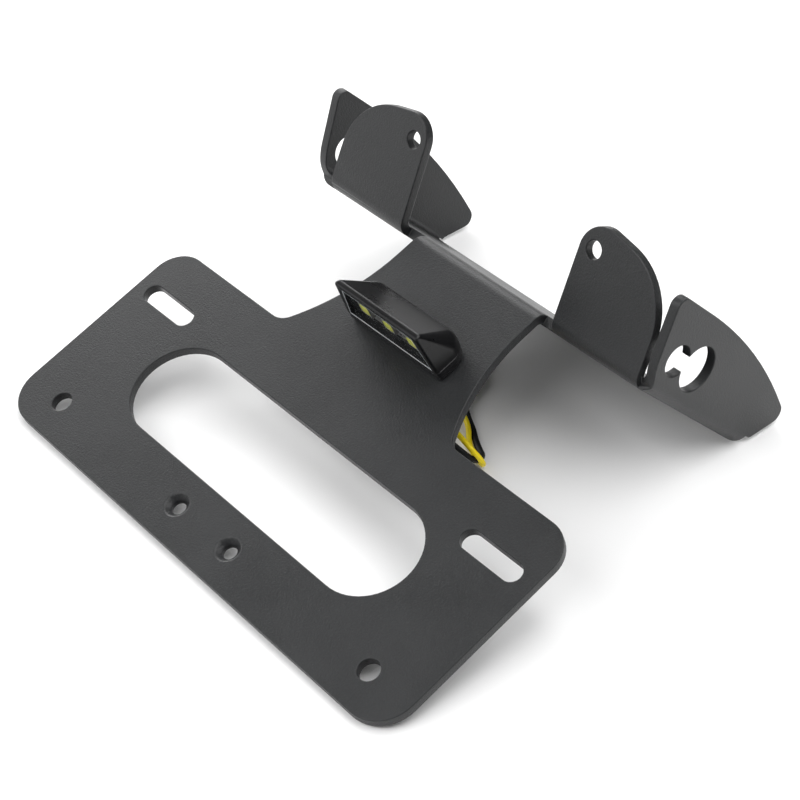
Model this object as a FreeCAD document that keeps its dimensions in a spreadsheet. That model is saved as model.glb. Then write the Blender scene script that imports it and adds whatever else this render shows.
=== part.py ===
import FreeCAD, Part

import math
import os
import re

import Sketcher
from FreeCAD import Placement, Rotation, Vector

# Tail tidy: a number plate bracket folded from one steel sheet, with a plate lamp on its stem.
# Lengths are in millimetres and angles in degrees.
#
# The bracket and lamp are drawn in the plate's own frame: X across the plate, Y up the plate
# from its bottom edge, Z out of its front face. They are then leaned back onto the floor.
# The side view of the back panel uses its own axes: X along the panel from the ridge fold,
# Y square to it.

SIZES = [
    ("sheet_thickness", 3.2, "steel sheet with its powder coat"),
    ("bend_radius", 2.0, "inside radius of each fold"),
    ("ridge_bend", 65.0, "fold between stem and back panel"),
    ("tab_bend", 67.5, "fold between back panel and fixing tabs"),
    ("plate_width", 180.0, "number plate panel, across"),
    ("plate_height", 74.0, "number plate panel, bottom to top"),
    ("plate_foot_corner", 12.0, "bottom corner radius"),
    ("plate_head_corner", 10.0, "top corner radius"),
    ("window_span", 88.0, "between the centres of the window's round ends"),
    ("window_radius", 16.0, "round end of the window"),
    ("window_rise", 37.3, "window centre above the bottom edge"),
    ("slot_reach", 73.8, "plate slot's middle from the middle"),
    ("slot_rise", 56.2, "plate slot above the bottom edge"),
    ("slot_straight", 8.0, "half of the slot's straight part"),
    ("slot_radius", 3.2, "half of the slot's width"),
    ("plate_hole_reach", 72.9, "lower plate hole from the middle"),
    ("plate_hole_rise", 11.5, "lower plate hole above the bottom edge"),
    ("plate_hole_bore", 6.5, "lower plate hole"),
    ("screw_hole_reach", 12.2, "countersunk hole from the middle"),
    ("screw_hole_rise", 11.0, "countersunk hole above the bottom edge"),
    ("screw_hole_bore", 4.3, "countersunk hole"),
    ("screw_head_width", 8.0, "countersink at the face"),
    ("ridge_rise", 123.0, "sharp outer corner of the ridge fold above the bottom edge"),
    ("neck_half", 26.8, "half width of the stem at its narrowest"),
    ("neck_drop", 9.4, "top of the stem's curve below the ridge corner"),
    ("stem_curve", 72.0, "radius of the stem's sides"),
    ("stem_foot", 4.2, "end of the stem's curve above the plate"),
    ("stem_foot_radius", 6.0, "hollow corner between stem and plate"),
    ("panel_length", 61.8, "back panel, measured down its slope"),
    ("flange_span", 144.0, "outside of one side flange to outside of the other"),
    ("flange_height", 28.3, "side flange above the back panel's underside"),
    ("left_skew", 4.3, "left flange's line on the back panel, its front turned outwards"),
    ("right_skew", 0.6, "right flange's line on the back panel, its front turned inwards"),
    ("skew_pivot", 35.0, "where the flanges are centred, down the back panel"),
    ("left_lean", 3.3, "left flange leans out"),
    ("flange_start", 2.2, "side flange's foot behind the tab face"),
    ("flange_foot_rise", 2.1, "square part of the flange's foot"),
    ("flange_sweep_rise", 5.7, "sharp corner of the foot's sweep"),
    ("flange_sweep_radius", 17.0, "sweep from the foot into the front edge"),
    ("flange_front_corner", 3.0, "top front corner radius"),
    ("crown_start", 7.3, "where the flange's top edge starts to curve"),
    ("crown_radius", 180.0, "curve of the flange's top edge"),
    ("crown_turn", 20.0, "turn of that curve"),
    ("crown_tail", 6.2, "curve's end to the sharp far corner"),
    ("flange_far_corner", 3.5, "far corner radius"),
    ("flange_undercut", 46.7, "slope of the flange's far edge"),
    ("relief_rise", 3.7, "bend relief above the panel's underside"),
    ("keyhole_head_run", 15.9, "large keyhole circle behind the tab face"),
    ("keyhole_head_rise", 13.14, "large keyhole circle above the underside"),
    ("keyhole_head_bore", 14.4, "large keyhole circle"),
    ("keyhole_neck_run", 4.64, "small keyhole circle behind the tab face"),
    ("keyhole_neck_rise", 12.23, "small keyhole circle above the underside"),
    ("keyhole_neck_bore", 9.9, "small keyhole circle"),
    ("notch_width", 6.2, "slit between stem and tab"),
    ("tab_gap", 2.0, "slit between tab and side flange"),
    ("tab_inner_height", 37.5, "sharp inner top corner of the tab"),
    ("tab_outer_height", 31.1, "sharp outer top corner of the tab"),
    ("tab_inner_radius", 8.2, "inner top corner radius"),
    ("tab_outer_radius", 20.9, "outer top corner radius"),
    ("tab_hole_inset", 5.4, "tab hole from the tab's inner edge"),
    ("tab_hole_rise", 28.0, "tab hole above the fold's sharp corner"),
    ("tab_hole_bore", 5.5, "tab hole"),
    ("lamp_front", 87.65, "lamp's front face above the bottom edge, at the stem"),
    ("lamp_back", 100.0, "lamp's back above the bottom edge"),
    ("lamp_height", 19.4, "lamp above the stem"),
    ("lamp_lean", 3.3, "front face leans out over the plate"),
    ("lamp_half", 20.9, "half length of the housing at the stem"),
    ("lamp_end_lean", 8.0, "end faces lean in"),
    ("lamp_back_corner", 6.0, "upright back corner radius"),
    ("lip_depth", 1.9, "flat lip above the lens, front to back"),
    ("roof_slope", 45.0, "roof falls towards the back"),
    ("roof_radius", 8.5, "roof to back radius"),
    ("housing_wall", 1.6, "housing wall"),
    ("gasket_thickness", 0.8, "foam gasket"),
    ("gasket_inset", 0.4, "gasket inside the base's edge"),
    ("base_thickness", 3.1, "lamp base"),
    ("base_overhang", 0.15, "base stands proud of the housing"),
    ("base_front_corner", 1.0, "base front corner radius"),
    ("lens_foot_half", 18.4, "half width of the lens opening at the base"),
    ("lens_head_half", 15.5, "half width of the lens opening at its top"),
    ("lens_thickness", 1.1, "clear lens"),
    ("lens_recess", 0.15, "lens behind the front face"),
    ("lens_clearance", 0.1, "gap round the lens"),
    ("cavity_half", 16.4, "half width of the hollow behind the lens"),
    ("board_depth", 3.1, "board behind the front face"),
    ("board_thickness", 1.0, "circuit board"),
    ("board_half", 16.0, "half length of the board"),
    ("board_height", 9.6, "circuit board above the base"),
    ("led_pitch", 10.4, "between neighbouring LEDs"),
    ("led_width", 5.0, "LED package, square"),
    ("led_thickness", 1.5, "LED package"),
    ("led_rise", 9.9, "LED centre above the stem"),
    ("phosphor_width", 4.0, "round light window of an LED"),
    ("phosphor_thickness", 0.12, "light window's gel over the package"),
    ("resistor_width", 3.2, "resistor, along the board"),
    ("resistor_height", 1.6, "resistor, up the board"),
    ("resistor_thickness", 0.6, "resistor, off the board"),
    ("resistor_pitch", 6.0, "between neighbouring resistors"),
    ("resistor_rise", 8.5, "resistors above the stem"),
    ("tail_width", 1.2, "wire tail inside the lamp"),
    ("tail_reach", 1.1, "wire tail from the middle"),
    ("tail_top", 7.0, "wire tail's top above the stem"),
    ("stud_reach", 12.0, "stud from the middle"),
    ("stud_rise", 93.0, "studs above the bottom edge"),
    ("stud_width", 3.0, "stud"),
    ("stud_hole_slack", 0.4, "stud hole over the stud"),
    ("stud_seat", 2.0, "stud inside the base"),
    ("stud_reach_below", 5.3, "stud below the stem's underside"),
    ("washer_width", 7.0, "washer"),
    ("washer_bore", 3.2, "washer's hole"),
    ("washer_thickness", 0.5, "washer"),
    ("nut_flats", 5.5, "nut across its flats"),
    ("nut_height", 2.4, "nut"),
    ("cable_hole_rise", 93.5, "cable hole above the bottom edge"),
    ("cable_hole_bore", 7.0, "cable hole"),
    ("grommet_slack", 0.4, "cable hole over the grommet"),
    ("grommet_drop", 3.8, "grommet below the stem's underside"),
    ("grommet_end_width", 5.0, "grommet's lower end"),
    ("lead_width", 1.7, "each lead"),
    ("lead_reach", 1.2, "lead from the middle where it leaves the grommet"),
    ("lead_drop", 7.0, "straight part of each lead below the grommet"),
    ("hank_length", 30.0, "folded lead, along"),
    ("hank_width", 13.6, "folded lead, across"),
    ("hank_height", 3.4, "folded lead, two layers"),
    ("hank_corner", 6.0, "folded lead's end radius"),
    ("tie_width", 4.0, "tie, along the hank"),
    ("tie_thickness", 0.8, "tie band"),
    ("sleeve_length", 16.0, "terminal sleeve"),
    ("sleeve_width", 5.5, "terminal sleeve"),
    ("sleeve_bore", 4.0, "terminal sleeve's hole"),
    ("terminal_length", 14.0, "bullet terminal"),
    ("terminal_proud", 4.0, "bullet terminal out of its sleeve"),
]

# Lead routes over the floor, from the grommet's end: X across, Y towards the back, Z up.
YELLOW_ROUTE = [
    Vector(9.0, 90.8, 15.2),
    Vector(18.5, 88.1, 11.9),
    Vector(27.9, 86.3, 11.6),
    Vector(31.8, 88.7, 6.7),
    Vector(28.9, 91.9, 1.6),
    Vector(20.1, 93.6, 0.87),
    Vector(12.5, 100.2, 0.87),
    Vector(5.0, 104.3, 0.87),
    Vector(-2.5, 106.0, 1.65),
]
BLACK_ROUTE = [
    Vector(4.5, 88.6, 15.0),
    Vector(15.0, 83.4, 12.9),
    Vector(25.8, 82.7, 11.4),
    Vector(29.3, 85.5, 6.7),
    Vector(27.5, 91.2, 4.4),
    Vector(23.4, 96.4, 0.87),
    Vector(16.0, 100.5, 0.87),
    Vector(7.2, 105.1, 0.87),
    Vector(1.2, 113.0, 0.87),
    Vector(-3.5, 120.6, 1.65),
]
YELLOW_HANK = Vector(-8.0, 106.0, 0)
BLACK_HANK = Vector(-10.0, 120.6, 0)

doc = FreeCAD.newDocument("TailTidy")
sheet = doc.addObject("Spreadsheet::Sheet", "Sizes")
for row, (alias, value, note) in enumerate(SIZES, start=1):
    sheet.set(f"A{row}", note)
    sheet.set(f"B{row}", str(value))
    sheet.setAlias(f"B{row}", alias)
doc.recompute()


def cells(text):
    """An expression with each alias in it pointed at the sheet."""
    return re.sub(r"[a-z]+(?:_[a-z]+)+", lambda found: "Sizes." + found.group(), str(text))


def num(text):
    """What an expression of aliases comes to."""
    value = sheet.evalExpression(cells(text))
    return float(getattr(value, "Value", value))


def origin_plane(body, role):
    return next(item for item in body.Origin.OriginFeatures if item.Role == role)


def new_body(label):
    body = doc.addObject("PartDesign::Body", label)
    body.Label = label
    return body


def new_sketch(body, name, role="XY_Plane", turn=None, ahead=None, up=None):
    """A sketch on an origin plane, turned about its X axis or its normal and moved."""
    sketch = body.newObject("Sketcher::SketchObject", name)
    sketch.AttachmentSupport = (origin_plane(body, role), [""])
    sketch.MapMode = "FlatFace"
    if turn is not None:
        axis = Vector(1, 0, 0) if role == "XY_Plane" else Vector(0, 0, 1)
        sketch.AttachmentOffset = Placement(Vector(), Rotation(axis, num(turn)))
        sketch.setExpression("AttachmentOffset.Rotation.Angle", cells(turn))
    if ahead is not None:
        side = "y" if role == "XY_Plane" else "x"
        sketch.setExpression(f"AttachmentOffset.Base.{side}", cells(ahead))
    if up is not None:
        sketch.setExpression("AttachmentOffset.Base.z", cells(up))
    return sketch


def bind(sketch, kind, *where, size):
    """A dimension of a sketch that follows an expression."""
    number = sketch.addConstraint(Sketcher.Constraint(kind, *where, num(size)))
    sketch.setExpression(f"Constraints[{number}]", cells(size))


def locate(sketch, geometry, position, across, along):
    bind(sketch, "DistanceX", -1, 1, geometry, position, size=across)
    bind(sketch, "DistanceY", -1, 1, geometry, position, size=along)


def join(sketch, kind, *where):
    sketch.addConstraint(Sketcher.Constraint(kind, *where))


def outline(sketch, corners):
    """A closed outline through sharp corners (x, y) and rounded ones (x, y, radius)."""
    count = len(corners)
    points = [Vector(num(corner[0]), num(corner[1]), 0) for corner in corners]
    radii = [corner[2] if len(corner) > 2 else None for corner in corners]
    starts = list(points)
    ends = list(points)
    arcs = [None] * count
    for i, radius in enumerate(radii):
        if radius is None:
            continue
        back = (points[i - 1] - points[i]).normalize()
        ahead = (points[(i + 1) % count] - points[i]).normalize()
        half = back.getAngle(ahead) / 2
        inward = (back + ahead).normalize()
        tangent = num(radius) / math.tan(half)
        starts[i] = points[i] + back * tangent
        ends[i] = points[i] + ahead * tangent
        middle = points[i] + inward * (num(radius) / math.sin(half) - num(radius))
        arcs[i] = Part.Arc(starts[i], middle, ends[i])
    lines = []
    for i in range(count):
        edge = Part.LineSegment(ends[i], starts[(i + 1) % count])
        lines.append(sketch.addGeometry(edge, False))
    for i in range(count):
        before = lines[i - 1]
        after = lines[i]
        if arcs[i] is None:
            join(sketch, "Coincident", before, 2, after, 1)
            locate(sketch, after, 1, corners[i][0], corners[i][1])
            continue
        arc = sketch.addGeometry(arcs[i], False)
        forward = sketch.getPoint(arc, 1).distanceToPoint(starts[i]) < 1e-6
        join(sketch, "Tangent", before, 2, arc, 1 if forward else 2)
        join(sketch, "Tangent", arc, 2 if forward else 1, after, 1)
        bind(sketch, "Radius", arc, size=radii[i])
        corner = sketch.addGeometry(Part.Point(points[i]), True)
        join(sketch, "PointOnObject", corner, 1, before)
        join(sketch, "PointOnObject", corner, 1, after)
        locate(sketch, corner, 1, corners[i][0], corners[i][1])


def both_sides(right):
    """A symmetric outline from the corners of its right half, bottom to top."""
    left = [(f"-({corner[0]})", *corner[1:]) for corner in reversed(right)]
    return right + left


def circle(sketch, across, along, width):
    centre = Vector(num(across), num(along), 0)
    ring = sketch.addGeometry(Part.Circle(centre, Vector(0, 0, 1), num(width) / 2), False)
    locate(sketch, ring, 3, across, along)
    bind(sketch, "Radius", ring, size=f"({width}) / 2")


def stadium(sketch, first, second, radius):
    """A slot between the centres of its two round ends."""
    size = num(radius)
    a = Vector(num(first[0]), num(first[1]), 0)
    b = Vector(num(second[0]), num(second[1]), 0)
    way = (b - a).normalize() * size
    side = Vector(-way.y, way.x, 0)
    ends = [Part.Arc(a + side, a - way, a - side), Part.Arc(b - side, b + way, b + side)]
    rounds = [sketch.addGeometry(end, False) for end in ends]
    for start, stop in (((0, a - side), (1, b - side)), ((1, b + side), (0, a + side))):
        line = sketch.addGeometry(Part.LineSegment(start[1], stop[1]), False)
        for position, (index, point) in ((1, start), (2, stop)):
            near = sketch.getPoint(rounds[index], 1).distanceToPoint(point) < 1e-6
            join(sketch, "Tangent", line, position, rounds[index], 1 if near else 2)
    for end, (across, along) in zip(rounds, (first, second)):
        locate(sketch, end, 3, across, along)
        bind(sketch, "Radius", end, size=radius)


def pad(body, name, sketch, length, backward=False, symmetric=False, behind=None):
    feature = body.newObject("PartDesign::Pad", name)
    feature.Profile = sketch
    feature.setExpression("Length", cells(length))
    feature.Reversed = backward
    if symmetric:
        feature.SideType = "Symmetric"
    if behind is not None:
        feature.SideType = "Two sides"
        feature.setExpression("Length2", cells(behind))
    doc.recompute()
    return feature


def pocket(body, name, sketch, length, backward=False, symmetric=False):
    before = body.Shape.Volume
    feature = body.newObject("PartDesign::Pocket", name)
    feature.Profile = sketch
    feature.setExpression("Length", cells(length))
    feature.Reversed = backward
    if symmetric:
        feature.SideType = "Symmetric"
    doc.recompute()
    if body.Shape.Volume > before - 1e-3:
        raise RuntimeError(f"{name} cuts nothing")
    return feature


# Places that several pieces share, as expressions of the sizes.
PANEL_ORIGIN = "(ridge_rise - sheet_thickness / sin(ridge_bend))"
PANEL_TURN = "-ridge_bend"
RIGHT_FOOT = "(flange_span / 2 - skew_pivot * tan(right_skew))"
LEFT_FOOT = "(-flange_span / 2 - skew_pivot * tan(left_skew))"
TAB_INNER = "(neck_half + notch_width)"
TAB_OUTER = "(flange_span / 2 - sheet_thickness - tab_gap)"
OUTER_BEND = "(bend_radius + sheet_thickness)"
RIDGE_SETBACK = f"({OUTER_BEND} * tan(ridge_bend / 2))"
PANEL_START = f"(sheet_thickness / tan(ridge_bend) + {RIDGE_SETBACK})"
TAB_SETBACK = f"({OUTER_BEND} * tan(tab_bend / 2))"
TAB_FACE = "(180 - tab_bend)"
GROMMET_END = "(-sheet_thickness - grommet_drop)"
FOLD_LAP = 1.0
CLEAR = 20.0

# Each side flange: its name, its side's sign, its foot, its skew and its lean outwards.
FLANGES = [
    ("Right", "", RIGHT_FOOT, "right_skew", "0"),
    ("Left", "-", LEFT_FOOT, "left_skew", "left_lean"),
]


def on_panel(body, name):
    """A sketch on the back panel's underside."""
    return new_sketch(body, name, turn=PANEL_TURN, ahead=PANEL_ORIGIN)


def beside_panel(body, name, across=None):
    """A sketch of the back panel's side view."""
    return new_sketch(body, name, "YZ_Plane", turn=PANEL_TURN, ahead=PANEL_ORIGIN, up=across)


def place_by(sketch, base, turns):
    """A sketch set by an origin and by turns, each an axis and an angle."""
    rotation = " * ".join(
        f"create(<<rotation>>; create(<<vector>>; {axis}); {angle})" for axis, angle in turns
    )
    origin = f"create(<<vector>>; {base})"
    sketch.setExpression("AttachmentOffset", cells(f"create(<<placement>>; {origin}; {rotation})"))
    doc.recompute()


def fold_channel(body):
    """The back panel with its two side flanges, still square at both ends.

    Each side is most of the panel and its flange, drawn square to that flange's own line."""
    top = f"(flange_height + {FOLD_LAP})"
    for name, side, foot, skew, lean in FLANGES:
        section = new_sketch(body, f"{name}Section")
        turns = [("1; 0; 0", "90 - ridge_bend"), ("0; 1; 0", f"-{skew}")]
        place_by(section, f"{foot}; {PANEL_ORIGIN}; 0", turns)
        slope = f"({side}tan({lean}))"
        inner = f"(-({side}(sheet_thickness / cos({lean}))))"
        seam = f"-({side}(flange_span * 3 / 4))"
        outline(section, [
            (seam, "0"),
            ("0", "0", OUTER_BEND),
            (f"{top} * {slope}", top),
            (f"{inner} + {top} * {slope}", top),
            (f"{inner} + sheet_thickness * {slope}", "sheet_thickness", "bend_radius"),
            (seam, "sheet_thickness"),
        ])
        pad(body, f"{name}Side", section, "flange_height", behind=f"panel_length + {CLEAR}")


def trim_flanges(body):
    """The flanges' side view: foot, front edge in line with the tabs, crown and far edge."""
    trim = beside_panel(body, "FlangeOutline")
    turn = "crown_turn"
    tangent = f"crown_radius * tan({turn} / 2)"
    far = f"({tangent} + crown_tail)"
    far_run = f"(crown_start + {tangent} + {far} * cos({turn}))"
    far_rise = f"(flange_height - {far} * sin({turn}))"
    lean = "tan(90 - tab_bend)"
    outline(trim, [
        ("panel_length", "0"),
        ("panel_length", "relief_rise"),
        (f"{far_run} - ({far_rise} - relief_rise) / tan(flange_undercut)", "relief_rise"),
        (far_run, far_rise, "flange_far_corner"),
        (f"crown_start + {tangent}", "flange_height", "crown_radius"),
        (f"-flange_height * {lean}", "flange_height", "flange_front_corner"),
        (f"-flange_sweep_rise * {lean}", "flange_sweep_rise", "flange_sweep_radius"),
        ("flange_start", "flange_foot_rise"),
        ("flange_start", "0"),
    ])
    left = f"-flange_height - {CLEAR}"
    right = f"panel_length + {CLEAR} * 2"
    low = f"-{CLEAR}"
    high = f"flange_height + {CLEAR}"
    outline(trim, [(left, low), (right, low), (right, high), (left, high)])
    pocket(body, "FlangeTrim", trim, "flange_span * 2", symmetric=True)


def on_flange(body, name, foot, skew, lean):
    """A sketch on a side flange's outer face, along its own line on the back panel."""
    sketch = new_sketch(body, name, "YZ_Plane")
    turns = [("0; 0; 1", PANEL_TURN), ("0; 1; 0", f"-{skew}"), ("1; 0; 0", lean)]
    place_by(sketch, f"{PANEL_ORIGIN}; 0; {foot}", turns)
    return sketch


def cut_keyholes(body):
    """A keyhole square through each flange: two circles that run into each other."""
    for side, sign, foot, skew, lean in FLANGES:
        for name in ("head", "neck"):
            hole = on_flange(body, f"{side}{name.title()}Circle", foot, skew, f"{sign}({lean})")
            circle(hole, f"keyhole_{name}_run", f"keyhole_{name}_rise", f"keyhole_{name}_bore")
            pocket(body, f"{side}Keyhole{name.title()}", hole, "sheet_thickness * 3", symmetric=True)


def clear_panel_front(body):
    """The back panel's front edge stands back between the flanges for the folds."""
    strip = on_panel(body, "PanelFront")
    low = f"-flange_height - {CLEAR}"
    outline(strip, both_sides([(TAB_OUTER, low), (TAB_OUTER, PANEL_START)]))
    pocket(body, "PanelFrontCut", strip, "sheet_thickness * 4", symmetric=True)


def add_plate_and_stem(body):
    sketch = new_sketch(body, "PlateOutline")
    neck = "(ridge_rise - neck_drop)"
    foot = "(plate_height + stem_foot)"
    spread = f"asin(({neck} - {foot}) / stem_curve)"
    flare = f"(neck_half + stem_curve * (1 - cos({spread})) + stem_foot * tan({spread}))"
    outline(sketch, both_sides([
        ("plate_width / 2", "0", "plate_foot_corner"),
        ("plate_width / 2", "plate_height", "plate_head_corner"),
        (flare, "plate_height", "stem_foot_radius"),
        ("neck_half", f"{neck} - stem_curve * tan({spread} / 2)", "stem_curve"),
        ("neck_half", f"ridge_rise - {RIDGE_SETBACK}"),
    ]))
    pad(body, "PlateAndStem", sketch, "sheet_thickness", backward=True)


def add_ridge_fold(body):
    """The fold that carries the stem over into the back panel."""
    fold = new_sketch(body, "RidgeFoldSection", "YZ_Plane")
    inner = "sheet_thickness * tan(ridge_bend / 2)"
    flat = f"ridge_rise - {RIDGE_SETBACK} - {FOLD_LAP}"
    reach = f"({RIDGE_SETBACK} + {FOLD_LAP})"
    far_across = f"(ridge_rise + {reach} * cos(ridge_bend))"
    far_up = f"(-{reach} * sin(ridge_bend))"
    outline(fold, [
        (flat, "0"),
        (flat, "-sheet_thickness"),
        (f"ridge_rise - {inner}", "-sheet_thickness", "bend_radius"),
        (f"{far_across} - sheet_thickness * sin(ridge_bend)",
         f"{far_up} - sheet_thickness * cos(ridge_bend)"),
        (far_across, far_up),
        ("ridge_rise", "0", OUTER_BEND),
    ])
    pad(body, "RidgeFold", fold, "neck_half * 2", symmetric=True)


def add_tabs(body):
    """A fixing tab folded up from the back panel on each side of the stem."""
    fold = beside_panel(body, "TabFoldSection", across=TAB_INNER)
    inner = "sheet_thickness * tan(tab_bend / 2)"
    reach = f"({TAB_SETBACK} + {FOLD_LAP})"
    outline(fold, [
        (f"{PANEL_START} + {FOLD_LAP}", "0"),
        (f"{PANEL_START} + {FOLD_LAP}", "sheet_thickness"),
        (inner, "sheet_thickness", "bend_radius"),
        (f"{reach} * cos({TAB_FACE}) + sheet_thickness * sin({TAB_FACE})",
         f"{reach} * sin({TAB_FACE}) - sheet_thickness * cos({TAB_FACE})"),
        (f"{reach} * cos({TAB_FACE})", f"{reach} * sin({TAB_FACE})"),
        ("0", "0", OUTER_BEND),
    ])
    folded = pad(body, "TabFold", fold, f"{TAB_OUTER} - {TAB_INNER}")
    turn = "180 - ridge_bend - tab_bend"
    face = new_sketch(body, "TabOutline", turn=turn, ahead=PANEL_ORIGIN)
    outline(face, [
        (TAB_INNER, TAB_SETBACK),
        (TAB_OUTER, TAB_SETBACK),
        (TAB_OUTER, "tab_outer_height", "tab_outer_radius"),
        (TAB_INNER, "tab_inner_height", "tab_inner_radius"),
    ])
    tab = pad(body, "Tab", face, "sheet_thickness", backward=True)
    drill = new_sketch(body, "TabHoleCircle", turn=turn, ahead=PANEL_ORIGIN)
    circle(drill, f"{TAB_INNER} + tab_hole_inset", "tab_hole_rise", "tab_hole_bore")
    hole = pocket(body, "TabHole", drill, "sheet_thickness * 3", symmetric=True)
    mirror = body.newObject("PartDesign::Mirrored", "OtherTab")
    mirror.Originals = [folded, tab, hole]
    mirror.MirrorPlane = (origin_plane(body, "YZ_Plane"), [""])
    body.Tip = mirror
    doc.recompute()


def cut_plate_openings(body):
    """Window, plate slots, plate holes and the lamp's holes."""
    sketch = new_sketch(body, "PlateOpenings")
    half = "window_span / 2"
    stadium(sketch, (f"-{half}", "window_rise"), (half, "window_rise"), "window_radius")
    for side in ("-", ""):
        reach = f"{side}slot_reach"
        near = (f"{reach} - slot_straight", "slot_rise")
        far = (f"{reach} + slot_straight", "slot_rise")
        stadium(sketch, near, far, "slot_radius")
        circle(sketch, f"{side}plate_hole_reach", "plate_hole_rise", "plate_hole_bore")
        circle(sketch, f"{side}stud_reach", "stud_rise", "stud_width + stud_hole_slack")
    circle(sketch, "0", "cable_hole_rise", "cable_hole_bore")
    pocket(body, "PlateCuts", sketch, "sheet_thickness * 3", symmetric=True)


def cut_screw_holes(body):
    """Two countersunk holes below the window."""
    sketch = new_sketch(body, "ScrewHoleCentres")
    for side in ("-", ""):
        circle(sketch, f"{side}screw_hole_reach", "screw_hole_rise", "screw_hole_bore")
    doc.recompute()
    before = body.Shape.Volume
    hole = body.newObject("PartDesign::Hole", "ScrewHoles")
    hole.Profile = sketch
    doc.recompute()
    hole.ThreadType = "None"
    hole.DepthType = "ThroughAll"
    hole.HoleCutType = "Countersink"
    hole.setExpression("Diameter", cells("screw_hole_bore"))
    hole.setExpression("HoleCutDiameter", cells("screw_head_width"))
    hole.HoleCutCountersinkAngle = 90
    doc.recompute()
    if body.Shape.Volume > before - 1e-3:
        raise RuntimeError("the countersunk holes cut nothing")


def make_bracket():
    body = new_body("bracket")
    fold_channel(body)
    trim_flanges(body)
    cut_keyholes(body)
    clear_panel_front(body)
    add_plate_and_stem(body)
    add_ridge_fold(body)
    add_tabs(body)
    cut_plate_openings(body)
    cut_screw_holes(body)
    return body


# The lamp's levels above the stem, and its front face's place at each.
BASE_FOOT = "gasket_thickness"
BASE_TOP = "(gasket_thickness + base_thickness)"
LENS_HEAD = "(lamp_height - housing_wall)"
STEM_BACK = "(-sheet_thickness)"


def front_at(level):
    return f"(lamp_front - ({level}) * tan(lamp_lean))"


def up_front(level):
    """A level measured up the leaning front face."""
    return f"(({level}) / cos(lamp_lean))"


def on_front(body, name, depth="0"):
    """A sketch parallel to the lamp's front face, a depth behind it."""
    ahead = f"lamp_front + ({depth}) / cos(lamp_lean)"
    return new_sketch(body, name, turn="90 + lamp_lean", ahead=ahead)


def box_on_front(sketch, middle, half, low, high):
    """A rectangle on a front sketch between two levels."""
    outline(sketch, [
        (f"({middle}) - ({half})", up_front(low)),
        (f"({middle}) + ({half})", up_front(low)),
        (f"({middle}) + ({half})", up_front(high)),
        (f"({middle}) - ({half})", up_front(high)),
    ])


def end_at(level):
    return f"(lamp_half - ({level}) * tan(lamp_end_lean))"


def make_lamp_housing():
    """A moulded cover: lip over the lens, roof falling to the back, leaning ends, hollow."""
    body = new_body("lamp_housing")
    side = new_sketch(body, "HousingSide", "YZ_Plane")
    lip_back = f"({front_at('lamp_height')} + lip_depth)"
    shoulder = f"(lamp_height - (lamp_back - {lip_back}) * tan(roof_slope))"
    outline(side, [
        (front_at(BASE_TOP), BASE_TOP),
        ("lamp_back", BASE_TOP),
        ("lamp_back", shoulder, "roof_radius"),
        (lip_back, "lamp_height"),
        (front_at("lamp_height"), "lamp_height"),
    ])
    pad(body, "HousingBlock", side, "lamp_half * 2", symmetric=True)

    ends = new_sketch(body, "HousingEnds", "XZ_Plane")
    outline(ends, both_sides([
        (end_at(f"-{CLEAR}"), f"-{CLEAR}"),
        (end_at(f"lamp_height + {CLEAR}"), f"lamp_height + {CLEAR}"),
    ]))
    wide = f"lamp_half + {CLEAR}"
    outline(ends, both_sides([
        (wide, f"-{CLEAR} * 2"),
        (wide, f"lamp_height + {CLEAR} * 2"),
    ]))
    pocket(body, "HousingEndCut", ends, "lamp_back * 3", symmetric=True)

    plan = new_sketch(body, "HousingPlan")
    outline(plan, both_sides([
        (end_at(BASE_TOP), f"lamp_front - {CLEAR}"),
        (end_at(BASE_TOP), "lamp_back", "lamp_back_corner"),
    ]))
    outline(plan, both_sides([
        (wide, f"lamp_front - {CLEAR} * 2"),
        (wide, f"lamp_back + {CLEAR}"),
    ]))
    pocket(body, "HousingPlanCut", plan, "lamp_height * 3", symmetric=True)

    mouth = on_front(body, "LensOpening")
    below = "(gasket_thickness / 2)"
    spread = f"(lens_foot_half - lens_head_half) / ({LENS_HEAD} - {BASE_TOP})"
    foot = f"lens_foot_half + ({BASE_TOP} - {below}) * {spread}"
    outline(mouth, both_sides([(foot, up_front(below)), ("lens_head_half", up_front(LENS_HEAD))]))
    pocket(body, "LensOpeningCut", mouth, "lens_recess + lens_thickness + lens_clearance")

    hollow = new_sketch(body, "HousingHollow", "YZ_Plane")
    back = "(lamp_back - housing_wall)"
    inset = "housing_wall / cos(roof_slope) / tan(roof_slope)"
    roof_run = f"({lip_back} - {inset} + housing_wall / tan(roof_slope))"
    roof_low = f"({LENS_HEAD} - ({back} - {roof_run}) * tan(roof_slope))"
    outline(hollow, [
        (front_at(BASE_TOP), f"{BASE_TOP} - {FOLD_LAP}"),
        (back, f"{BASE_TOP} - {FOLD_LAP}"),
        (back, roof_low, "roof_radius - housing_wall"),
        (roof_run, LENS_HEAD),
        (f"{front_at(BASE_TOP)} + lens_recess", LENS_HEAD),
    ])
    pocket(body, "HousingHollowCut", hollow, "cavity_half * 2", symmetric=True)
    return body


def base_plan(sketch, inset="0"):
    """The lamp base's outline seen from above, or a smaller one inside it."""
    half = f"({end_at(BASE_TOP)} + base_overhang - ({inset}))"
    outline(sketch, both_sides([
        (half, f"lamp_front + ({inset})", "base_front_corner"),
        (half, f"lamp_back - ({inset})", "lamp_back_corner"),
    ]))


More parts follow.
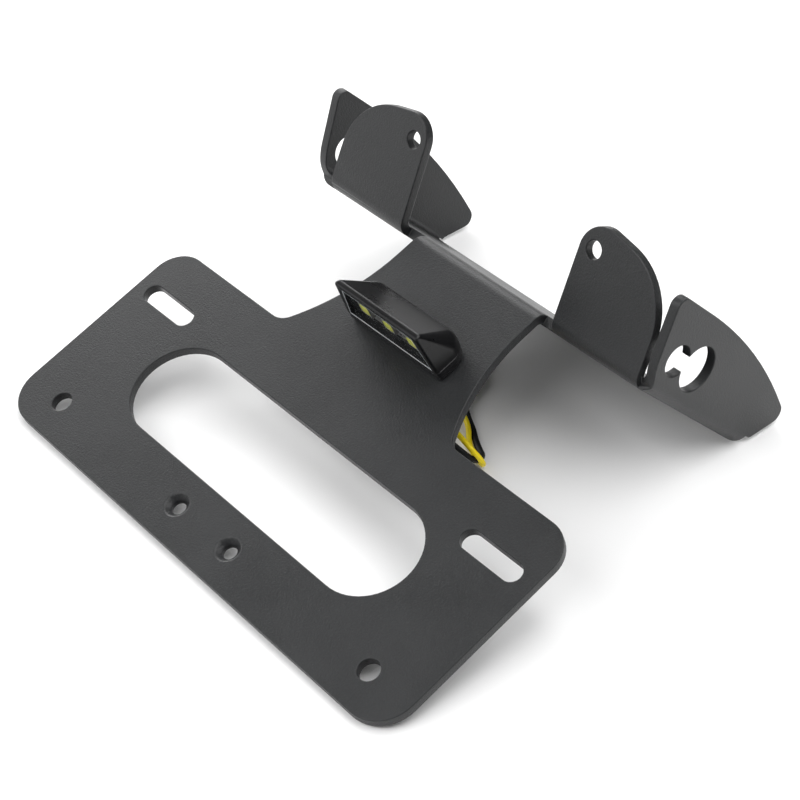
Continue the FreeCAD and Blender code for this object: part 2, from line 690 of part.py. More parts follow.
def make_lamp_base():
    body = new_body("lamp_base")
    plan = new_sketch(body, "BasePlan", up=BASE_FOOT)
    base_plan(plan)
    pad(body, "Base", plan, "base_thickness")
    wires = new_sketch(body, "WireHoles", up=BASE_FOOT)
    seats = new_sketch(body, "StudSeats", up=BASE_FOOT)
    for side in ("-", ""):
        circle(wires, f"{side}tail_reach", tail_place(), "tail_width")
        circle(seats, f"{side}stud_reach", "stud_rise", "stud_width")
    pocket(body, "WireHoleCut", wires, "base_thickness * 2", symmetric=True)
    pocket(body, "StudSeatCut", seats, "stud_seat", backward=True)
    return body


def make_lamp_gasket():
    body = new_body("lamp_gasket")
    plan = new_sketch(body, "GasketPlan")
    base_plan(plan, "gasket_inset")
    for side in ("-", ""):
        circle(plan, f"{side}stud_reach", "stud_rise", "stud_width + stud_hole_slack")
    circle(plan, "0", "cable_hole_rise", "cable_hole_bore")
    pad(body, "Gasket", plan, "gasket_thickness")
    return body


def make_lamp_lens():
    """A flat clear lens that drops into the opening, a clearance inside it all round."""
    body = new_body("lamp_lens")
    face = on_front(body, "LensOutline", "lens_recess")
    foot = f"{BASE_TOP} + lens_clearance"
    head = f"{LENS_HEAD} - lens_clearance"
    outline(face, both_sides([
        ("lens_foot_half - lens_clearance", up_front(foot)),
        ("lens_head_half - lens_clearance", up_front(head)),
    ]))
    pad(body, "Lens", face, "lens_thickness", backward=True)
    return body


def make_circuit_board():
    body = new_body("circuit_board")
    face = on_front(body, "BoardOutline", "board_depth")
    box_on_front(face, "0", "board_half", BASE_TOP, f"{BASE_TOP} + board_height")
    pad(body, "Board", face, "board_thickness", backward=True)
    return body


def make_led(label, middle):
    body = new_body(label)
    face = on_front(body, "LedOutline", "board_depth")
    half = "led_width / 2"
    box_on_front(face, middle, half, f"led_rise - {half}", f"led_rise + {half}")
    pad(body, "Led", face, "led_thickness")
    return body


def make_phosphor(label, middle):
    body = new_body(label)
    face = on_front(body, "PhosphorOutline", "board_depth - led_thickness")
    circle(face, middle, up_front("led_rise"), "phosphor_width")
    pad(body, "Phosphor", face, "phosphor_thickness")
    return body


def make_resistors():
    """Two chip resistors on the back of the board."""
    body = new_body("board_resistors")
    face = on_front(body, "ResistorOutlines", "board_depth + board_thickness")
    for side in ("-", ""):
        low = "resistor_rise"
        middle = f"{side}resistor_pitch"
        box_on_front(face, middle, "resistor_width / 2", low, f"{low} + resistor_height")
    pad(body, "Resistors", face, "resistor_thickness", backward=True)
    return body


def tail_place():
    """Front to back place of the wire tails, just behind the board's foot."""
    back = "(board_depth + board_thickness) / cos(lamp_lean)"
    return f"({front_at(BASE_TOP)} + {back} + tail_width / 2)"


def make_tail(label, side):
    """A wire from the board down through the base to the grommet."""
    body = new_body(label)
    section = new_sketch(body, "TailSection", up=BASE_FOOT)
    circle(section, f"{side}tail_reach", tail_place(), "tail_width")
    pad(body, "Tail", section, f"tail_top - {BASE_FOOT}")
    return body


def make_studs():
    body = new_body("lamp_studs")
    section = new_sketch(body, "StudSections", up=f"{BASE_FOOT} + stud_seat")
    for side in ("-", ""):
        circle(section, f"{side}stud_reach", "stud_rise", "stud_width")
    depth = f"{BASE_FOOT} + stud_seat + sheet_thickness + stud_reach_below"
    pad(body, "Studs", section, depth, backward=True)
    return body


def make_washers():
    body = new_body("stud_washers")
    plan = new_sketch(body, "WasherPlans", up=STEM_BACK)
    for side in ("-", ""):
        for width in ("washer_width", "washer_bore"):
            circle(plan, f"{side}stud_reach", "stud_rise", width)
    pad(body, "Washers", plan, "washer_thickness", backward=True)
    return body


def make_nuts():
    body = new_body("stud_nuts")
    plan = new_sketch(body, "NutPlans", up=f"{STEM_BACK} - washer_thickness")
    radius = "nut_flats / 2 / cos(30)"
    for side in ("-", ""):
        outline(plan, [
            (f"{side}stud_reach + {radius} * cos({60 * k})", f"stud_rise + {radius} * sin({60 * k})")
            for k in range(6)
        ])
        circle(plan, f"{side}stud_reach", "stud_rise", "stud_width")
    pad(body, "Nuts", plan, "nut_height", backward=True)
    return body


def make_grommet():
    """A rubber grommet through the stem, tapered below it round the two leads."""
    body = new_body("lead_grommet")
    half = new_sketch(body, "GrommetHalf", "YZ_Plane")
    middle = "cable_hole_rise"
    wide = f"{middle} + (cable_hole_bore - grommet_slack) / 2"
    outline(half, [
        (middle, GROMMET_END),
        (f"{middle} + grommet_end_width / 2", GROMMET_END),
        (wide, STEM_BACK),
        (wide, BASE_FOOT),
        (middle, BASE_FOOT),
    ])
    axis = half.addGeometry(
        Part.LineSegment(Vector(num(middle), -1, 0), Vector(num(middle), 1, 0)), True
    )
    join(half, "Vertical", axis)
    bind(half, "DistanceX", -1, 1, axis, 1, size=middle)
    bind(half, "DistanceY", -1, 1, axis, 1, size="-1")
    bind(half, "DistanceY", axis, 1, axis, 2, size="2")
    turned = body.newObject("PartDesign::Revolution", "Grommet")
    turned.Profile = half
    turned.ReferenceAxis = (half, ["Axis0"])
    turned.Angle = 360
    doc.recompute()
    return body


def tilt():
    """How far the plate leans back: it stands on its bottom edge and the panel's far edge."""
    run = f"{PANEL_ORIGIN} + panel_length * cos(ridge_bend)"
    drop = "panel_length * sin(ridge_bend) - sheet_thickness"
    return num(f"atan(({drop}) / ({run}))")


def standing(shift=0.0):
    """The placement that stands the plate's frame on the floor."""
    angle = tilt()
    lift = num("sheet_thickness") * math.cos(math.radians(angle))
    return Placement(Vector(0, shift, lift), Rotation(Vector(1, 0, 0), angle))


def tube(points, width):
    """A six-sided lead along straight runs, with an arc at each turn.

    Returns it, its length, its section's area and the radii."""
    edges = []
    radii = []
    last = points[0]
    for before, corner, after in zip(points, points[1:], points[2:]):
        back = before - corner
        ahead = after - corner
        cut = 0.45 * min(back.Length, ahead.Length)
        half = back.getAngle(ahead) / 2
        radii.append(cut * math.tan(half))
        start = corner + back.normalize() * cut
        stop = corner + ahead.normalize() * cut
        inward = (back + ahead).normalize()
        middle = corner + inward * (cut / math.cos(half) - radii[-1])
        edges.append(Part.LineSegment(last, start).toShape())
        edges.append(Part.Arc(start, middle, stop).toShape())
        last = stop
    edges.append(Part.LineSegment(last, points[-1]).toShape())
    spine = Part.Wire(edges)
    across = Rotation(Vector(0, 0, 1), points[1] - points[0])
    spokes = [math.radians(60 * step) for step in range(7)]
    rim = [Vector(math.cos(spoke), math.sin(spoke), 0) * (width / 2) for spoke in spokes]
    section = Part.makePolygon([points[0] + across.multVec(corner) for corner in rim])
    pipe = spine.makePipeShell([section], True, False)
    return pipe, spine.Length, Part.Face(section).Area, radii


def make_lead(label, side, route, hank, shift):
    """A lead from the grommet's end to the end face of its hank."""
    stand = standing()
    leave = Vector(side * num("lead_reach"), num("cable_hole_rise"), num(GROMMET_END))
    out = stand.multVec(leave)
    way = stand.Rotation.multVec(Vector(0, 0, -1))
    first = out + way * num("lead_drop")
    end = hank + Vector(0, 0, num("tie_thickness + lead_width / 2"))
    points = [out, first, *route, end]
    shape, length, area, radii = tube(points, num("lead_width"))
    print(label, "length", round(length, 1), "volume ratio", round(shape.Volume / length / area, 4))
    print("radii", [round(radius, 1) for radius in radii])
    lead = doc.addObject("Part::Feature", label)
    lead.Label = label
    lead.Shape = shape
    lead.Placement = Placement(Vector(0, shift, 0), Rotation())
    return lead


def hank_rectangle(sketch, hank):
    """The folded lead seen from above, back from its end face."""
    half = "hank_width / 2"
    outline(sketch, [
        (f"{hank.x} - hank_length", f"{hank.y} - {half}", "hank_corner"),
        (str(hank.x), f"{hank.y} - {half}", "hank_corner"),
        (str(hank.x), f"{hank.y} + {half}", "hank_corner"),
        (f"{hank.x} - hank_length", f"{hank.y} + {half}", "hank_corner"),
    ])


def make_hank(label, hank, floor):
    """The unseen part of a lead, folded up beside the stem's shadow."""
    body = new_body(label)
    plan = new_sketch(body, "HankPlan", up="tie_thickness")
    hank_rectangle(plan, hank)
    pad(body, "Hank", plan, "hank_height")
    body.Placement = floor
    return body


def make_ties(floor):
    """A band round the middle of each hank."""
    body = new_body("hank_ties")
    bands = new_sketch(body, "TieSections", "YZ_Plane")
    for hank in (YELLOW_HANK, BLACK_HANK):
        for grow, low in (("tie_thickness", "0"), ("0", "tie_thickness")):
            half = f"(hank_width / 2 + {grow})"
            high = f"tie_thickness + hank_height + {grow}"
            outline(bands, [
                (f"{hank.y} - {half}", low),
                (f"{hank.y} + {half}", low),
                (f"{hank.y} + {half}", high),
                (f"{hank.y} - {half}", high),
            ])
    middle = (YELLOW_HANK.x + BLACK_HANK.x) / 2
    bands.setExpression("AttachmentOffset.Base.z", cells(f"{middle} - hank_length / 2"))
    pad(body, "Ties", bands, "tie_width", symmetric=True)
    body.Placement = floor
    return body


def make_sleeve(label, hank, floor):
    """The insulating sleeve of a bullet terminal, against the hank's far end."""
    body = new_body(label)
    ring = new_sketch(body, "SleeveSection", "YZ_Plane", up=f"{hank.x} - hank_length")
    for width in ("sleeve_width", "sleeve_bore"):
        circle(ring, str(hank.y), "sleeve_width / 2", width)
    pad(body, "Sleeve", ring, "sleeve_length", backward=True)
    body.Placement = floor
    return body


def make_terminal(label, hank, floor):
    """A brass bullet in its sleeve, its tip outside."""
    body = new_body(label)
    end = f"{hank.x} - hank_length - sleeve_length - terminal_proud"
    rod = new_sketch(body, "TerminalSection", "YZ_Plane", up=end)
    circle(rod, str(hank.y), "sleeve_width / 2", "sleeve_bore")
    pad(body, "Terminal", rod, "terminal_length")
    body.Placement = floor
    return body


def build():
    """Every piece, each with its label and its placement."""
    bracket = make_bracket()
    bracket.Placement = standing()
    doc.recompute()
    box = bracket.Shape.optimalBoundingBox(False)
    shift = -(box.YMin + box.YMax) / 2
    pieces = [
        bracket,
        make_lamp_housing(),
        make_lamp_base(),
        make_lamp_gasket(),
        make_lamp_lens(),
        make_circuit_board(),
    ]
    for name, middle in (("left", "-led_pitch"), ("middle", "0"), ("right", "led_pitch")):
        pieces.append(make_led(f"led_{name}", middle))
        pieces.append(make_phosphor(f"phosphor_{name}", middle))
    pieces += [
        make_resistors(),
        make_tail("yellow_tail", ""),
        make_tail("black_tail", "-"),
        make_studs(),
        make_washers(),
        make_nuts(),
        make_grommet(),
    ]
    for piece in pieces:
        piece.Placement = standing(shift)
    floor = Placement(Vector(0, shift, 0), Rotation())
    pieces.append(make_lead("yellow_lead", 1, YELLOW_ROUTE, YELLOW_HANK, shift))
    pieces.append(make_lead("black_lead", -1, BLACK_ROUTE, BLACK_HANK, shift))
    for colour, hank in (("yellow", YELLOW_HANK), ("black", BLACK_HANK)):
        pieces.append(make_hank(f"{colour}_hank", hank, floor))
        pieces.append(make_sleeve(f"{colour}_sleeve", hank, floor))
        pieces.append(make_terminal(f"{colour}_terminal", hank, floor))
    pieces.append(make_ties(floor))
    doc.recompute()
    print("tilt", round(tilt(), 3), "shift", round(shift, 3))
    return pieces


def export(pieces):
    for item in doc.Objects:
        if "Invalid" in item.State or "Error" in item.State:
            raise RuntimeError(f"{item.Label} did not build")
    os.makedirs("parts", exist_ok=True)
    for piece in pieces:
        if piece.Shape.isNull() or not piece.Shape.isValid():
            raise RuntimeError(f"{piece.Label} has no valid shape")
        piece.Shape.exportStep(f"parts/{piece.Label}.step")


export(build())
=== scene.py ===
import math

import bmesh
import bpy
from mathutils import Matrix, Vector
from mathutils.bvhtree import BVHTree
from mathutils.kdtree import KDTree


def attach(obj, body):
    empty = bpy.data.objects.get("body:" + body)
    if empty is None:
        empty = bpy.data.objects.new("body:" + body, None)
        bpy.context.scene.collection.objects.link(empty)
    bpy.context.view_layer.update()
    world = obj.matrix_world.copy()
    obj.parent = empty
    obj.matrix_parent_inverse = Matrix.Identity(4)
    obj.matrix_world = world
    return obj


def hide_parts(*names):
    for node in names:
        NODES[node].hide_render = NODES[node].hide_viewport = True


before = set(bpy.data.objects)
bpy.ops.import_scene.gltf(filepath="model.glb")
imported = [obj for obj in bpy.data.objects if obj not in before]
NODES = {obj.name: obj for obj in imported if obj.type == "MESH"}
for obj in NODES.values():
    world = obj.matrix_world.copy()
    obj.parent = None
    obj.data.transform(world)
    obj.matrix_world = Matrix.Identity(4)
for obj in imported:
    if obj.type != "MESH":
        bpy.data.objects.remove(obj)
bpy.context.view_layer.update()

BACK = 0.086998

# Camera

def make_camera():
    """The photograph's view, from the front right and above."""
    data = bpy.data.cameras.new("camera")
    data.sensor_width = 36.0
    data.lens = 88.22
    data.clip_start = 0.01
    camera = bpy.data.objects.new("camera", data)
    camera.location = (0.34613, -0.29332, 0.38645)
    camera.rotation_euler = [math.radians(turn) for turn in (50.404, 0.662, 49.46)]
    bpy.context.scene.collection.objects.link(camera)
    bpy.context.scene.camera = camera


make_camera()

# Leads, in metres. The routes' Y runs from the plate's bottom edge, BACK in front of the origin.
LEAD = 0.0017
YELLOW_ROUTE = [
    (0.0012, 0.090283, 0.028311),
    (0.0012, 0.092670, 0.021730),
    (0.0090, 0.0908, 0.0152),
    (0.0185, 0.0881, 0.0119),
    (0.0279, 0.0863, 0.0116),
    (0.0318, 0.0886, 0.0066),
    (0.0292, 0.0914, 0.0017),
    (0.0236, 0.0928, 0.0009),
    (0.0175, 0.0960, 0.0012),
    (0.0142, 0.0991, 0.0027),
    (0.0081, 0.1021, 0.0027),
    (-0.0025, 0.1060, 0.00165),
]
BLACK_ROUTE = [
    (-0.0012, 0.090283, 0.028311),
    (-0.0012, 0.092670, 0.021730),
    (0.0045, 0.0887, 0.0152),
    (0.0169, 0.0833, 0.0130),
    (0.0247, 0.0831, 0.0120),
    (0.0294, 0.0849, 0.0092),
    (0.0293, 0.0887, 0.0050),
    (0.0272, 0.0931, 0.0031),
    (0.0226, 0.0959, 0.0010),
    (0.0185, 0.0980, 0.0010),
    (0.0143, 0.1008, 0.0010),
    (0.0086, 0.1036, 0.0010),
    (0.0036, 0.1074, 0.0010),
    (0.0002, 0.1138, 0.0010),
    (-0.0035, 0.1206, 0.00165),
]
HANK_LENGTH = 0.030
LOW = 0.00165
HIGH = 0.00338
SIDE = 0.00595
BOW = 0.00643
NEAR = 0.0068
FAR = HANK_LENGTH - NEAR


def bow(middle, turns, height):
    """One rounded end of the hank: (along, across, up) at each turn in degrees."""
    points = []
    for turn in turns:
        angle = math.radians(turn)
        points.append((middle + BOW * math.cos(angle), BOW * math.sin(angle), height))
    return points


def hank(x, y):
    """A lead folded up, from its entry to the terminal in its sleeve."""
    turns = [(0.0, 0.0, LOW), (0.004, -0.0003, LOW), (0.008, -0.0015, LOW)]
    turns += [(0.012, -0.0034, LOW), (0.0157, -0.0052, LOW), (0.0195, -SIDE, LOW)]
    turns += bow(FAR, (-67.5, -22.5, 22.5, 67.5), LOW)
    turns += [(0.0195, SIDE, LOW), (0.0160, SIDE, LOW), (0.0128, SIDE, 0.0023)]
    turns += [(0.0098, SIDE, HIGH)]
    turns += bow(NEAR, (112.5, 157.5, 202.5, 247.5), HIGH)
    turns += [(0.0100, -SIDE, HIGH), (0.0135, -0.0057, HIGH), (0.0172, -0.0044, HIGH)]
    turns += [(0.0210, -0.0025, HIGH), (0.0247, -0.0009, HIGH), (0.0283, -0.0001, HIGH)]
    turns += [(0.0315, 0.0, 0.0032), (0.0340, 0.0, 0.0029), (0.0362, 0.0, 0.00275)]
    return [(x - along, y + across, up) for along, across, up in turns]


def make_lead(name, points, material):
    """A smooth curve with the route's points as its control points."""
    data = bpy.data.curves.new(name, "CURVE")
    data.dimensions = "3D"
    data.resolution_u = 8
    data.bevel_depth = LEAD / 2
    data.bevel_resolution = 4
    data.use_fill_caps = True
    spline = data.splines.new("NURBS")
    spline.points.add(len(points) - 1)
    for point, (x, y, z) in zip(spline.points, points):
        point.co = (x, y - BACK, z, 1.0)
    spline.order_u = 3
    spline.use_endpoint_u = True
    data.materials.append(material)
    lead = bpy.data.objects.new(name, data)
    bpy.context.scene.collection.objects.link(lead)
    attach(lead, "root")
    return lead


# Materials

def link(tree, source, target):
    """Join one node's output to another's input."""
    tree.links.new(source, target)


def grain(tree, place, scale, detail=2.0, roughness=0.5):
    """Noise over the object, in features per metre."""
    noise = tree.nodes.new("ShaderNodeTexNoise")
    noise.inputs["Scale"].default_value = scale
    noise.inputs["Detail"].default_value = detail
    noise.inputs["Roughness"].default_value = roughness
    link(tree, place, noise.inputs["Vector"])
    return noise.outputs["Fac"]


def spread(tree, source, low, high, start=0.3, stop=0.7):
    """A value from low to high as the source goes from start to stop."""
    node = tree.nodes.new("ShaderNodeMapRange")
    node.inputs["From Min"].default_value = start
    node.inputs["From Max"].default_value = stop
    node.inputs["To Min"].default_value = low
    node.inputs["To Max"].default_value = high
    link(tree, source, node.inputs["Value"])
    return node.outputs["Result"]


def blend(tree, factor, first, second):
    """A colour between two."""
    mix = tree.nodes.new("ShaderNodeMix")
    mix.data_type = "RGBA"
    link(tree, factor, mix.inputs[0])
    for socket, colour in ((mix.inputs[6], first), (mix.inputs[7], second)):
        if isinstance(colour, tuple):
            socket.default_value = (*colour, 1.0)
        else:
            link(tree, colour, socket)
    return mix.outputs[2]


def shade(colour, factor):
    """A lighter or darker colour."""
    return tuple(min(1.0, channel * factor) for channel in colour)


def finish(name, colour, rough, fine, relief, cloud=60.0, vary=0.12, **sockets):
    """A surface with fine relief, soft changes of tone and an uneven gloss.

    fine is the grain in features per metre, relief its depth in metres."""
    material = bpy.data.materials.new(name)
    material.use_nodes = True
    tree = material.node_tree
    surface = tree.nodes["Principled BSDF"]
    place = tree.nodes.new("ShaderNodeTexCoord").outputs["Object"]
    small = grain(tree, place, fine, 3.0, 0.6)
    large = grain(tree, place, cloud, 4.0, 0.55)
    tone = blend(tree, spread(tree, large, 0, 1), shade(colour, 1 - vary), shade(colour, 1 + vary))
    speck = blend(tree, spread(tree, small, 0, 1), tone, shade(colour, 1 + 2 * vary))
    link(tree, speck, surface.inputs["Base Color"])
    link(tree, spread(tree, large, rough * 0.92, rough * 1.08), surface.inputs["Roughness"])
    bump = tree.nodes.new("ShaderNodeBump")
    bump.inputs["Strength"].default_value = 0.6
    bump.inputs["Distance"].default_value = relief
    link(tree, small, bump.inputs["Height"])
    link(tree, bump.outputs["Normal"], surface.inputs["Normal"])
    for socket, value in sockets.items():
        surface.inputs[socket.replace("_", " ")].default_value = value
    return material


COATED = finish("powder_coat", (0.0096, 0.0102, 0.0110), 0.40, 1700.0, 0.00020, cloud=45.0, vary=0.24,
                Specular_IOR_Level=0.44)
HOUSING = finish("moulded_black", (0.004, 0.004, 0.0045), 0.28, 900.0, 0.00002, vary=0.1,
                 Specular_IOR_Level=0.32)
BASE = finish("base_black", (0.008, 0.008, 0.009), 0.26, 900.0, 0.00002, vary=0.1)
FOAM = finish("foam", (0.012, 0.012, 0.012), 0.9, 2600.0, 0.0003, vary=0.2)
BOARD = finish("board_mask", (0.22, 0.22, 0.21), 0.35, 700.0, 0.00002, vary=0.05)
PACKAGE = finish("led_body", (0.22, 0.22, 0.20), 0.3, 900.0, 0.00002, vary=0.05)
GEL = finish("led_gel", (0.90, 0.98, 0.16), 0.25, 1800.0, 0.00003, vary=0.15)
CHIP = finish("chip_black", (0.02, 0.02, 0.02), 0.5, 1500.0, 0.00003, vary=0.1)
YELLOW = finish("yellow_pvc", (0.95, 0.72, 0.014), 0.42, 700.0, 0.00003, vary=0.06,
                Specular_IOR_Level=0.25)
BLACK = finish("black_pvc", (0.003, 0.003, 0.003), 0.55, 700.0, 0.00003, vary=0.1,
               Specular_IOR_Level=0.22)
ZINC = finish("zinc", (0.55, 0.55, 0.52), 0.32, 1200.0, 0.00003, vary=0.1, Metallic=1.0)
RUBBER = finish("rubber", (0.014, 0.014, 0.014), 0.6, 1400.0, 0.00004, vary=0.12)
TIE = finish("tie_nylon", (0.02, 0.02, 0.02), 0.42, 1100.0, 0.00003, vary=0.1)
SLEEVE = finish("sleeve_milky", (0.70, 0.70, 0.66), 0.3, 800.0, 0.00003, vary=0.05, Alpha=0.55)
BRASS = finish("brass", (0.62, 0.42, 0.14), 0.28, 1100.0, 0.00003, vary=0.08, Metallic=1.0)
LENS = finish("clear_lens", (0.05, 0.055, 0.055), 0.08, 300.0, 0.000005, vary=0.04, Alpha=0.12)
# Painted highlight: a pale grey for the lens's edge, standing for the thin line of light its clear edge
# reflects.
LENS_EDGE_HIGHLIGHT = finish("lens_edge_painted_highlight", (0.55, 0.58, 0.60), 0.22, 900.0, 0.00001, vary=0.06)
SILVER = finish("solder", (0.72, 0.73, 0.74), 0.22, 1500.0, 0.00003, vary=0.1, Metallic=1.0)


# Pieces

SHARP = math.radians(40.0)
LEAST_TURN = math.radians(32.0)
SOFTEN_TRIES = 12


def rounded(source, width, held):
    """The form with its sharp edges rounded off, apart from those at the held points."""
    form = bmesh.new()
    form.from_mesh(source)
    bmesh.ops.remove_doubles(form, verts=form.verts, dist=2e-6)
    bmesh.ops.dissolve_limit(form, angle_limit=math.radians(0.4), verts=form.verts, edges=form.edges)
    sharp = []
    for edge in form.edges:
        if len(edge.link_faces) != 2 or edge.calc_face_angle(0.0) < LEAST_TURN:
            continue
        ends = [tuple(round(c, 6) for c in vert.co) for vert in edge.verts]
        if not any(end in held for end in ends):
            sharp.append(edge)
    before = [vert.co.copy() for vert in form.verts]
    bmesh.ops.bevel(form, geom=sharp, offset=width, offset_type="OFFSET", segments=2,
                    profile=0.5, affect="EDGES", clamp_overlap=False)
    return form, before


def soften(name, width, material, slot):
    """The node's form with every sharp edge rounded off, as paint or a mould leaves it.

    Where an edge is too cramped to round, it is held sharp and the form is made again."""
    source = NODES[name].data
    plain = bmesh.new()
    plain.from_mesh(source)
    surface = BVHTree.FromBMesh(plain)
    held = set()
    for _ in range(SOFTEN_TRIES):
        form, before = rounded(source, width, held)
        tree = KDTree(len(before))
        for index, place in enumerate(before):
            tree.insert(place, index)
        tree.balance()
        strays = [vert for vert in form.verts
                  if surface.find_nearest(vert.co)[3] > width * 0.7]
        if not strays:
            break
        for stray in strays:
            for edge in stray.link_edges:
                other = edge.other_vert(stray)
                place = tree.find(other.co)[0]
                held.add(tuple(round(c, 6) for c in place))
    plain.free()
    mesh = bpy.data.meshes.new(name + "_soft")
    form.to_mesh(mesh)
    form.free()
    add_piece(name + "_soft", mesh, material, slot, name)


def coat(material, *names):
    """A better material on nodes that stay as they are."""
    for name in names:
        for slot in NODES[name].material_slots:
            slot.material = material


# The lamp is drawn in millimetres in the plate's frame: Y up the plate, Z out of its face.
TILT = math.radians(19.938)
SHEET = 3.2
LAMP_FRONT = 87.65
LAMP_BACK = 100.0
LAMP_HEIGHT = 19.4
LAMP_HALF = 20.9
LAMP_LEAN = math.radians(3.3)
END_LEAN = math.radians(8.0)
ROOF_SLOPE = math.radians(45.0)
LIP_DEPTH = 1.9
WALL = 1.6
BASE_TOP = 3.9
LENS_HEAD = LAMP_HEIGHT - WALL
MOUTH_FOOT = 18.4
MOUTH_HEAD = 15.5
MOUTH_DEPTH = 4.35
HOLLOW_HALF = 16.4
FRONT_ROUND = 0.8
LIP_ROUND = 1.3
BACK_ROUND = 5.6
LED_MIDDLES = (-10.4, 0.0, 10.4)
LED_RISE = 9.9
GEL_HALF = 1.9
GEL_SIDES = 32


def stand(x, y, z):
    """A point of the plate's frame, stood up with the plate."""
    along = y * math.cos(TILT) - z * math.sin(TILT)
    up = y * math.sin(TILT) + (z + SHEET) * math.cos(TILT)
    return Vector((x / 1000, along / 1000 - BACK, up / 1000))


def on_front(x, level, depth):
    """A point behind the lamp's leaning front face."""
    y = LAMP_FRONT + depth / math.cos(LAMP_LEAN) - level * math.tan(LAMP_LEAN)
    return stand(x, y, level)


def touching(planes, radius):
    """The middle of a ball that touches three planes from inside."""
    normals = Matrix([normal for normal, distance in planes])
    return normals.inverted() @ Vector([distance - radius for normal, distance in planes])


def add_piece(name, mesh, material, slot, *nodes):
    """A mesh as a piece of the object, in place of the nodes that it stands for."""
    for polygon in mesh.polygons:
        polygon.use_smooth = True
    mesh.set_sharp_from_angle(angle=SHARP)
    mesh.materials.clear()
    mesh.materials.append(material)
    piece = bpy.data.objects.new(name, mesh)
    bpy.context.scene.collection.objects.link(piece)
    even = piece.modifiers.new("even", "WEIGHTED_NORMAL")
    even.keep_sharp = True
    even.weight = 80
    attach(piece, "root")
    if nodes:
        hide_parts(*nodes)
    return piece


def prism(points, way):
    """A closed solid from an outline and a direction."""
    form = bmesh.new()
    low = [form.verts.new(point) for point in points]
    high = [form.verts.new(Vector(point) + way) for point in points]
    form.faces.new(low)
    form.faces.new(reversed(high))
    for i in range(len(points)):
        j = (i + 1) % len(points)
        form.faces.new((low[j], low[i], high[i], high[j]))
    bmesh.ops.recalc_face_normals(form, faces=form.faces)
    mesh = bpy.data.meshes.new("prism")
    form.to_mesh(mesh)
    form.free()
    return mesh


def carved(mesh, cutters):
    """A solid less each cutter."""
    block = bpy.data.objects.new("block", mesh)
    bpy.context.scene.collection.objects.link(block)
    tools = []
    for cutter in cutters:
        tool = bpy.data.objects.new("tool", cutter)
        bpy.context.scene.collection.objects.link(tool)
        cut = block.modifiers.new("cut", "BOOLEAN")
        cut.operation = "DIFFERENCE"
        cut.solver = "EXACT"
        cut.object = tool
        tools.append(tool)
    graph = bpy.context.evaluated_depsgraph_get()
    result = bpy.data.meshes.new_from_object(block.evaluated_get(graph))
    for item in [block, *tools]:
        bpy.data.objects.remove(item)
    return result


def make_housing():
    """The moulded cover: the form that wraps balls set inside its corners, then hollowed.

    Small balls give the lip and the front its tight edges, large ones the full back corners."""
    front = (Vector((0, -math.cos(LAMP_LEAN), -math.sin(LAMP_LEAN))), -LAMP_FRONT * math.cos(LAMP_LEAN))
    top = (Vector((0, 0, 1)), LAMP_HEIGHT)
    back = (Vector((0, 1, 0)), LAMP_BACK)
    lip_back = LAMP_FRONT - LAMP_HEIGHT * math.tan(LAMP_LEAN) + LIP_DEPTH
    slope = Vector((0, math.sin(ROOF_SLOPE), math.cos(ROOF_SLOPE)))
    roof = (slope, slope.dot(Vector((0, lip_back, LAMP_HEIGHT))))
    form = bmesh.new()
    for side in (-1, 1):
        lean = Vector((side * math.cos(END_LEAN), 0, math.sin(END_LEAN)))
        end = (lean, LAMP_HALF * math.cos(END_LEAN))
        foot = (Vector((0, 0, -1)), 6.0)
        for planes, radius, fineness in (
            ((front, top, end), FRONT_ROUND, 3),
            ((top, roof, end), LIP_ROUND, 3),
            ((roof, back, end), BACK_ROUND, 4),
            ((front, end, foot), FRONT_ROUND, 3),
            ((back, end, foot), BACK_ROUND, 4),
        ):
            place = Matrix.Translation(touching(planes, radius))
            bmesh.ops.create_icosphere(form, subdivisions=fineness, radius=radius, matrix=place)
    bmesh.ops.delete(form, geom=form.faces[:] + form.edges[:], context="EDGES_FACES")
    wrap = bmesh.ops.convex_hull(form, input=form.verts[:])
    spare = {item for key in ("geom_interior", "geom_unused") for item in wrap[key]}
    bmesh.ops.delete(form, geom=[v for v in spare if isinstance(v, bmesh.types.BMVert)], context="VERTS")
    bmesh.ops.bisect_plane(form, geom=form.verts[:] + form.edges[:] + form.faces[:],
                           plane_co=(0, 0, BASE_TOP), plane_no=(0, 0, 1), clear_inner=True)
    bmesh.ops.holes_fill(form, edges=[edge for edge in form.edges if edge.is_boundary], sides=0)
    bmesh.ops.dissolve_limit(form, angle_limit=math.radians(1.0), verts=form.verts, edges=form.edges)
    for vert in form.verts:
        vert.co = stand(*vert.co)
    bmesh.ops.recalc_face_normals(form, faces=form.faces)
    block = bpy.data.meshes.new("housing")
    form.to_mesh(block)
    form.free()

    widening = (MOUTH_FOOT - MOUTH_HEAD) / (LENS_HEAD - BASE_TOP)
    below = 2.0
    wide = MOUTH_FOOT + below * widening
    foot_level = BASE_TOP - below
    mouth = [(-wide, foot_level), (wide, foot_level), (MOUTH_HEAD, LENS_HEAD), (-MOUTH_HEAD, LENS_HEAD)]
    inward = on_front(0, 0, 1) - on_front(0, 0, 0)
    opening = prism([on_front(x, level, -3.0) for x, level in mouth], inward * MOUTH_DEPTH)
    rear = LAMP_BACK - WALL
    reach = lip_back - WALL / math.cos(ROOF_SLOPE) / math.tan(ROOF_SLOPE) + WALL / math.tan(ROOF_SLOPE)
    low = LENS_HEAD - (rear - reach) * math.tan(ROOF_SLOPE)
    near = LAMP_FRONT - LENS_HEAD * math.tan(LAMP_LEAN) + 0.5
    floor = BASE_TOP - 1
    hollow = [(near, floor), (rear, floor), (rear, low), (reach, LENS_HEAD), (near, LENS_HEAD)]
    across = Vector((HOLLOW_HALF * 2 / 1000, 0, 0))
    inside = prism([stand(-HOLLOW_HALF, y, z) for y, z in hollow], across)
    add_piece("housing", carved(block, [opening, inside]), HOUSING, "housing_black", "lamp_housing")


